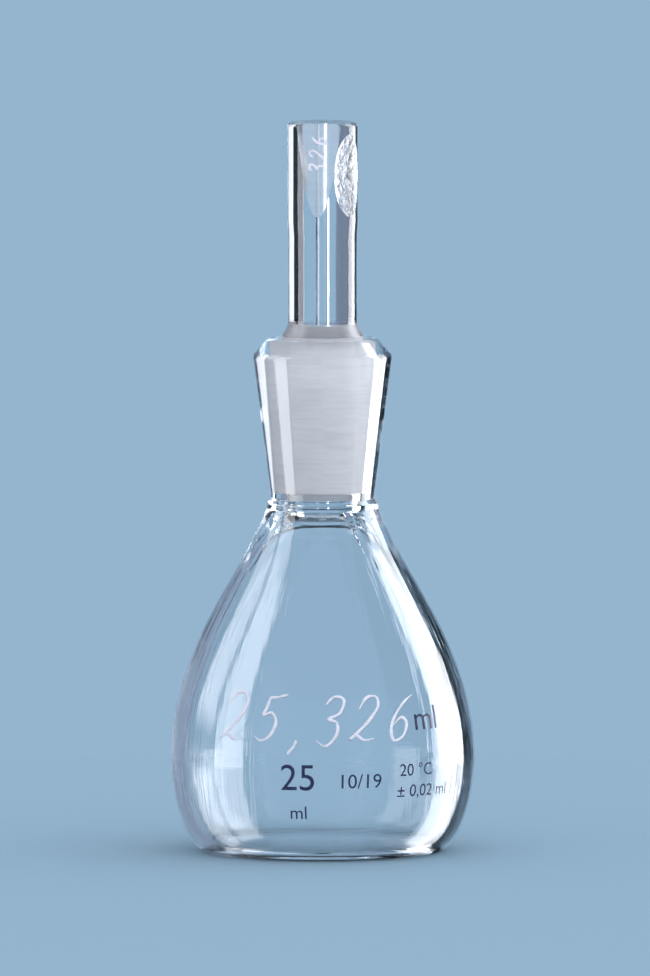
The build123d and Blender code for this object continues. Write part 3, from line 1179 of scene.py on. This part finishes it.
def lettering_mesh(text, size):
    """Plain lettering as flat faces round its own middle, sliced finely enough to bend round the bottle."""
    curve = bpy.data.curves.new("lettering", "FONT")
    curve.body = text
    curve.size = size
    curve.align_x = "CENTER"
    curve.align_y = "CENTER"
    curve.resolution_u = 6
    holder = bpy.data.objects.new("lettering", curve)
    bpy.context.scene.collection.objects.link(holder)
    graph = bpy.context.evaluated_depsgraph_get()
    flat = bpy.data.meshes.new_from_object(holder.evaluated_get(graph), depsgraph=graph)
    work = bmesh.new()
    work.from_mesh(flat)
    bmesh.ops.remove_doubles(work, verts=work.verts, dist=size * 1e-4)
    xs = [v.co.x for v in work.verts]
    ys = [v.co.y for v in work.verts]
    for values, normal in ((xs, Vector((1, 0, 0))), (ys, Vector((0, 1, 0)))):
        low, high = min(values), max(values)
        for i in range(1, int((high - low) / SLICE) + 1):
            geometry = work.verts[:] + work.edges[:] + work.faces[:]
            bmesh.ops.bisect_plane(work, geom=geometry, plane_co=normal * (low + i * SLICE), plane_no=normal)
    bpy.data.objects.remove(holder)
    bpy.data.curves.remove(curve)
    bpy.data.meshes.remove(flat)
    return work


def tidy_name(text):
    return "".join(c if c.isalnum() else "_" for c in text)


def tree_values(sizes, *names):
    """Settings under the names that the inputs of a geometry tree have."""
    return {name.replace("_", " ").title(): getattr(sizes, name) for name in names}


class DENSITY_BOTTLE_OT_bottle(bpy.types.Operator):
    """Blow the bottle: its body, neck and ground socket"""

    bl_idname = "density_bottle.bottle"
    bl_label = "Bottle"

    def execute(self, context):
        settings = context.scene.density_bottle
        body = settings.body
        tree = bpy.data.node_groups.get("Turned Glass") or turned_glass_tree()
        bottle = outline_object("bottle_glass", bottle_outline(settings))
        run_tree(
            bottle,
            tree,
            {
                **tree_values(body, "steps", "waviness", "wave_length", "seed"),
                **tree_values(body, "run_depth", "run_width", "run_length", "run_turn", "second_run_turn"),
                "Run Start": Heights(settings).throat_end,
                "Clear Glass": clear_glass(settings),
                "Ground Glass": ground_glass(settings, "ground_socket", settings.glass.ground_colour),
                "Half Ground Glass": face_glass(settings),
            },
        )
        outward(bottle)
        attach(bottle, "bottle")
        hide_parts("bottle")
        return {"FINISHED"}


class DENSITY_BOTTLE_OT_stopper(bpy.types.Operator):
    """Make the stopper: its ground cone, capillary and pressed grip"""

    bl_idname = "density_bottle.stopper"
    bl_label = "Stopper"

    def execute(self, context):
        settings = context.scene.density_bottle
        sizes = settings.stopper
        at = Heights(settings)
        tree = bpy.data.node_groups.get("Turned Glass") or turned_glass_tree()
        stopper = outline_object("stopper_glass", stopper_outline(settings))
        run_tree(
            stopper,
            tree,
            {
                **tree_values(sizes, "steps", "waviness", "wave_length", "seed"),
                "Clear Glass": clear_glass(settings),
                # The cone's ground glass gets the darker grey of painted shade inside the neck.
                "Ground Glass": ground_glass(settings, "ground_cone_shaded", settings.glass.shaded_cone_colour),
                "Half Ground Glass": face_glass(settings),
            },
        )
        outward(stopper)
        run_tree(
            stopper,
            pressed_grip_tree(),
            {
                **tree_values(sizes, "face_depth", "face_length", "face_turn"),
                **tree_values(sizes, "hollow_depth", "hollow_length", "hollow_below_top", "hollow_turn"),
                "Top Height": at.top,
                "Grip Radius": at.grip_radius,
                "Face Glass": face_glass(settings),
                "Hollow Glass": pressed_glass(settings),
            },
        )
        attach(stopper, "stopper")
        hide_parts("stopper")
        return {"FINISHED"}


SCRIBED_TURN = radians(-2.0)
SCRIBED_SLANT = 0.22
FURROW_FLATNESS = 0.82
STOPPER_DIGIT_HEIGHT = 1.9 * MM
STOPPER_DIGIT_PITCH = 1.75 * MM
STOPPER_DIGIT_SLANT = 0.15
STOPPER_NUMBER_ASIDE = 0.9 * MM


class DENSITY_BOTTLE_OT_scribed_number(bpy.types.Operator):
    """Scribe the measured content on the front of the bottle by hand"""

    bl_idname = "density_bottle.scribed_number"
    bl_label = "Scribed Number"

    def execute(self, context):
        settings = context.scene.density_bottle
        marks = settings.marks
        outline = bottle_outline(settings)

        def place(across, up):
            point = on_body(outline, SCRIBED_TURN, across, marks.scribed_level + up, 0.0)
            return point, Vector((point.x, point.y, 0.0)).normalized()

        strokes = written_strokes(
            marks.content, marks.scribed_height, marks.scribed_pitch, SCRIBED_SLANT
        )
        number = strokes_object("scribed_number", strokes, place)
        tree = bpy.data.node_groups.get("Scribed Line") or scribed_tree()
        line = scribed_line(settings)
        values = {"Width": marks.scribed_width, "Flatness": FURROW_FLATNESS, "Seed": 5, "Line": line}
        run_tree(number, tree, values)
        outward(number)
        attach(number, "bottle")
        return {"FINISHED"}


class DENSITY_BOTTLE_OT_stopper_number(bpy.types.Operator):
    """Scribe the matching number on the stopper's ground face, reading upwards"""

    bl_idname = "density_bottle.stopper_number"
    bl_label = "Stopper Number"

    def execute(self, context):
        settings = context.scene.density_bottle
        marks, sizes = settings.marks, settings.stopper
        at = Heights(settings)
        tilt = atan2(sizes.face_depth, sizes.face_length)
        spin = Matrix.Rotation(sizes.face_turn, 3, "Z") @ Matrix.Rotation(-tilt, 3, "X")
        run_out = Matrix.Rotation(sizes.face_turn, 3, "Z") @ Vector(
            (0.0, -at.grip_radius, at.top - sizes.face_length)
        )
        middle = sizes.face_length * 0.68

        def place(across, up):
            point = run_out + spin @ Vector((STOPPER_NUMBER_ASIDE - up, 0.0, middle + across))
            return point, spin @ Vector((0.0, -1.0, 0.0))

        number_text = marks.content.split(",")[-1]
        strokes = written_strokes(
            number_text, STOPPER_DIGIT_HEIGHT, STOPPER_DIGIT_PITCH, STOPPER_DIGIT_SLANT
        )
        number = strokes_object("scribed_stopper_number", strokes, place)
        tree = bpy.data.node_groups.get("Scribed Line") or scribed_tree()
        width, line = marks.scribed_width * 0.7, scribed_line(settings)
        run_tree(number, tree, {"Width": width, "Flatness": FURROW_FLATNESS, "Seed": 9, "Line": line})
        outward(number)
        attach(number, "stopper")
        return {"FINISHED"}


# Each print: text, size in millimetres, turn from the front in degrees, height in millimetres.
ENAMEL_PRINTS = (
    ("ml", 4.2, 44.0, 17.6),
    ("25", 4.6, -9.3, 10.6),
    ("ml", 2.3, -9.3, 6.3),
    ("10/19", 2.5, 14.3, 10.2),
    ("20 °C", 2.15, 38.0, 11.4),
    ("± 0,02 ml", 2.15, 42.0, 8.8),
)


class DENSITY_BOTTLE_OT_enamel_marks(bpy.types.Operator):
    """Print the unit, the nominal content and the measuring conditions in fired enamel"""

    bl_idname = "density_bottle.enamel_marks"
    bl_label = "Enamel Marks"

    def execute(self, context):
        settings = context.scene.density_bottle
        marks = settings.marks
        outline = bottle_outline(settings)
        enamel = fired_enamel(settings)
        lift = marks.enamel_thickness * 0.75
        for text, size, turned, height in ENAMEL_PRINTS:
            work = lettering_mesh(text, size * MM)
            for vert in work.verts:
                across, up = vert.co.x, height * MM + vert.co.y
                vert.co = on_body(outline, radians(turned), across, up, lift)
            mesh = bpy.data.meshes.new("enamel_" + tidy_name(text))
            work.to_mesh(mesh)
            work.free()
            mesh.materials.append(enamel)
            mark = bpy.data.objects.new(mesh.name, mesh)
            context.scene.collection.objects.link(mark)
            skin = mark.modifiers.new("thickness", "SOLIDIFY")
            skin.thickness = marks.enamel_thickness
            skin.offset = -1.0
            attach(mark, "bottle")
        return {"FINISHED"}


# Turns in the studio are in degrees from straight behind the bottle, positive towards its right side.
# Each soft box: from this turn, to this turn, strength near the level, strength higher up.
SOFT_BOXES = (
    (-116.0, -90.0, 5.6, 4.4),
    (-85.0, -62.0, 0.0, 3.0),
    (46.0, 82.0, 8.5, 6.0),
)
SEEN_THROUGH = ((44.0, 66.0, 1.25, 1.25),)
BOX_RAISED = (2.0, 12.0)
BACKDROP_BEHIND = (-18.0, 18.0)
BACKDROP_IN_FRONT = (118.0, 124.0)
SIDE_WALL = (-52.0, -18.0)
OVERHEAD_RISE = (48.0, 80.0)
OPEN_VIEW = (-15.0, 23.0)
OPEN_SIDE = (9.0, 12.0)
BESIDE_VIEW = (-36.0, -15.0)
BESIDE_STRENGTH = 0.7
DEEP_STRENGTH = 0.8
DARK_ABOVE = (24.0, 34.0)
# How many surfaces of glass the light has crossed, each limit half a step above a whole count.
OUTER_SKIN_CROSSED = 0.5
NEAR_WALL_CROSSED = 2.5
FAR_WALL_MIRRORS = 3.5
DEEP_IN_GLASS = 5.5


def studio_world(settings):
    """A plain studio: the backdrop, soft boxes at both sides and dark between them.

    Thin walls show the backdrop behind them. Solid glass bends the view aside to the soft boxes and the dark,
    and polished glass mirrors them."""
    stage = settings.stage
    backdrop = tuple(stage.backdrop_colour)
    world = bpy.data.worlds.new("studio")
    world.use_nodes = True
    world.cycles.sampling_method = "NONE"
    world.node_tree.nodes.clear()
    make = Maker(world.node_tree)
    direction = make.add("ShaderNodeTexCoord").outputs["Generated"]
    parts = make.split(direction)
    around = make.times(make.sum("ARCTAN2", parts["X"], parts["Y"]), degrees(1.0))
    up = make.times(make.sum("ARCSINE", parts["Z"]), degrees(1.0))
    ray = make.add("ShaderNodeLightPath").outputs

    def between(angle, low, high, soft):
        rising = make.ramp(angle, low - soft / 2, low + soft / 2)
        return make.times(rising, make.ramp(angle, high - soft / 2, high + soft / 2, 1.0, 0.0))

    def boxes(angle, table):
        light = 0.0
        for low, high, level_strength, raised_strength in table:
            strength = make.ramp(up, *BOX_RAISED, level_strength, raised_strength)
            light = make.plus(light, make.times(between(angle, low, high, 2.0), strength))
        return make.times(light, between(up, -stage.box_height, stage.box_height, 6.0))

    def grey(level):
        return make.joined(level, level, level)

    def box_light(level):
        return make.scaled(tuple(stage.box_colour), level)

    far_side = make.above(ray["Transmission Depth"], FAR_WALL_MIRRORS)
    inner_side = make.above(ray["Transmission Depth"], OUTER_SKIN_CROSSED)
    dimmed = make.mix("FLOAT", inner_side, stage.outer_share, stage.inner_share)
    dimmed = make.mix("FLOAT", far_side, dimmed, stage.far_dimming)
    in_front = make.ramp(make.sum("ABSOLUTE", around), *BACKDROP_IN_FRONT)
    behind = make.sum("MAXIMUM", between(around, *BACKDROP_BEHIND, 4.0), in_front)
    deep = make.times(make.above(ray["Transmission Depth"], DEEP_IN_GLASS), DEEP_STRENGTH)
    behind = make.mix("FLOAT", make.sum("MAXIMUM", behind, deep), stage.dark_level, 1.0)
    mirror_light = make.times(boxes(around, SOFT_BOXES), dimmed)
    mirrored = make.vector("ADD", make.scaled(backdrop, behind), box_light(mirror_light))
    side_wall = make.scaled(tuple(stage.side_wall_colour), between(around, *SIDE_WALL, 3.0))
    mirrored = make.vector("ADD", mirrored, side_wall)
    overhead = make.times(between(up, *OVERHEAD_RISE, 4.0), stage.overhead_strength)

    front_half = make.sum("LESS_THAN", make.sum("ABSOLUTE", around), 90.0)
    turned = make.mix("FLOAT", front_half, make.minus(180.0, around), around)
    side = make.sum("ABSOLUTE", make.minus(make.sum("ABSOLUTE", around), 90.0))
    open_side = make.ramp(side, *OPEN_SIDE, 1.0, 0.0)
    open_view = make.sum("MAXIMUM", between(turned, *OPEN_VIEW, 3.0), open_side)
    open_view = make.mix("FLOAT", open_view, stage.dark_level, 1.0)
    solid_view = make.vector("ADD", make.scaled(backdrop, open_view), box_light(boxes(turned, SEEN_THROUGH)))
    beside = make.times(between(turned, *BESIDE_VIEW, 3.0), BESIDE_STRENGTH)
    solid_view = make.vector("ADD", solid_view, make.scaled(tuple(stage.side_wall_colour), beside))
    thin = make.above(ray["Transmission Depth"], NEAR_WALL_CROSSED)
    through = make.mix("VECTOR", thin, solid_view, backdrop)
    through = make.scaled(through, make.ramp(up, *DARK_ABOVE, 1.0, stage.dark_level))
    through = make.vector("ADD", through, box_light(overhead))

    seen = make.mix("VECTOR", make.above(ray["Glossy Depth"], 0.5), through, mirrored)
    seen = make.mix("VECTOR", ray["Is Camera Ray"], seen, backdrop)
    lit = make.above(ray["Diffuse Depth"], 0.5)
    side_light = make.vector("DOT_PRODUCT", direction, stage_direction(stage))
    soft = make.plus(stage.light_level, make.times(side_light, stage.light_slant))
    result = make.mix("VECTOR", lit, seen, grey(soft))
    background = make.add("ShaderNodeBackground", {"Color": result, "Strength": 1.0})
    make.add("ShaderNodeOutputWorld", {"Surface": background.outputs["Background"]})
    return world


def stage_direction(stage):
    """The way from the bottle towards the brighter side of the studio."""
    return (
        sin(stage.light_turn) * cos(stage.light_rise),
        -cos(stage.light_turn) * cos(stage.light_rise),
        sin(stage.light_rise),
    )


def floor_material(settings):
    """Plain pale floor. Mirrored in the front of the glass, it is as glossy as a polished bench."""
    stage = settings.stage
    material, make, shader, output, _ = new_material("floor")
    level = stage.light_level + stage.light_slant * sin(stage.light_rise) * 2 / 3
    shader.inputs["Base Color"].default_value = (*[part / level for part in stage.backdrop_colour], 1.0)
    shader.inputs["Roughness"].default_value = 1.0
    shader.inputs["Specular IOR Level"].default_value = 0.0
    gloss = make.add("ShaderNodeBsdfGlossy", {"Color": (0.9, 0.9, 0.9, 1.0), "Roughness": 0.05})
    ray = make.add("ShaderNodeLightPath").outputs
    mirrored = make.above(ray["Glossy Depth"], 0.5)
    near_side = make.sum("LESS_THAN", ray["Transmission Depth"], FAR_WALL_MIRRORS)
    amount = make.times(mirrored, near_side, 0.85)
    mix = make.add("ShaderNodeMixShader", {0: amount, 1: shader.outputs["BSDF"], 2: gloss.outputs[0]})
    make.feed(output.inputs["Surface"], mix.outputs[0])
    return material


class DENSITY_BOTTLE_OT_stage(bpy.types.Operator):
    """Set the floor, the plain surroundings and the camera"""

    bl_idname = "density_bottle.stage"
    bl_label = "Stage"

    def execute(self, context):
        settings = context.scene.density_bottle
        stage = settings.stage
        scene = context.scene
        work = bmesh.new()
        bmesh.ops.create_circle(work, cap_ends=True, radius=stage.floor_radius, segments=96)
        bmesh.ops.translate(work, verts=work.verts, vec=(0.0, 0.0, -stage.floor_gap))
        mesh = bpy.data.meshes.new("floor")
        work.to_mesh(mesh)
        work.free()
        mesh.materials.append(floor_material(settings))
        floor = bpy.data.objects.new("floor", mesh)
        scene.collection.objects.link(floor)

        scene.world = studio_world(settings)
        scene.view_settings.view_transform = "Standard"
        scene.cycles.max_bounces = 32
        scene.cycles.diffuse_bounces = 12
        scene.cycles.transmission_bounces = 32
        scene.cycles.glossy_bounces = 16

        camera_data = bpy.data.cameras.new("camera")
        camera = bpy.data.objects.new("camera", camera_data)
        scene.collection.objects.link(camera)
        eye = Vector((stage.aim_aside, -stage.camera_distance, stage.camera_height))
        aim = Vector((stage.aim_aside, 0.0, stage.aim_height))
        camera.location = eye
        camera.rotation_euler = (aim - eye).to_track_quat("-Z", "Y").to_euler()
        camera_data.sensor_width = 36.0
        camera_data.lens = camera_data.sensor_width * (aim - eye).length / stage.view_height
        camera_data.clip_start = 0.05
        camera_data.clip_end = 20.0
        scene.camera = camera
        return {"FINISHED"}


class DENSITY_BOTTLE_PT_panel(bpy.types.Panel):
    bl_idname = "DENSITY_BOTTLE_PT_panel"
    bl_label = "Density Bottle"
    bl_space_type = "VIEW_3D"
    bl_region_type = "UI"
    bl_category = "Density Bottle"

    def draw(self, context):
        for operator in OPERATORS:
            self.layout.operator(operator.bl_idname)
        settings = context.scene.density_bottle
        for group in ("body", "neck", "joint", "stopper", "glass", "marks", "stage"):
            box = self.layout.box()
            box.label(text=group.capitalize())
            part = getattr(settings, group)
            for name in part.__annotations__:
                box.prop(part, name)


OPERATORS = (
    DENSITY_BOTTLE_OT_stage,
    DENSITY_BOTTLE_OT_bottle,
    DENSITY_BOTTLE_OT_stopper,
    DENSITY_BOTTLE_OT_scribed_number,
    DENSITY_BOTTLE_OT_stopper_number,
    DENSITY_BOTTLE_OT_enamel_marks,
)
CLASSES = (
    BodySizes,
    NeckSizes,
    JointSizes,
    StopperSizes,
    GlassLook,
    MarkLook,
    StageLook,
    DensityBottle,
    *OPERATORS,
    DENSITY_BOTTLE_PT_panel,
)


def register():
    for cls in CLASSES:
        bpy.utils.register_class(cls)
    bpy.types.Scene.density_bottle = bpy.props.PointerProperty(type=DensityBottle)


def unregister():
    del bpy.types.Scene.density_bottle
    for cls in reversed(CLASSES):
        bpy.utils.unregister_class(cls)


def main():
    register()
    bpy.ops.density_bottle.stage()
    bpy.ops.density_bottle.bottle()
    bpy.ops.density_bottle.stopper()
    bpy.ops.density_bottle.scribed_number()
    bpy.ops.density_bottle.stopper_number()
    bpy.ops.density_bottle.enamel_marks()


if __name__ == "__main__":
    main()
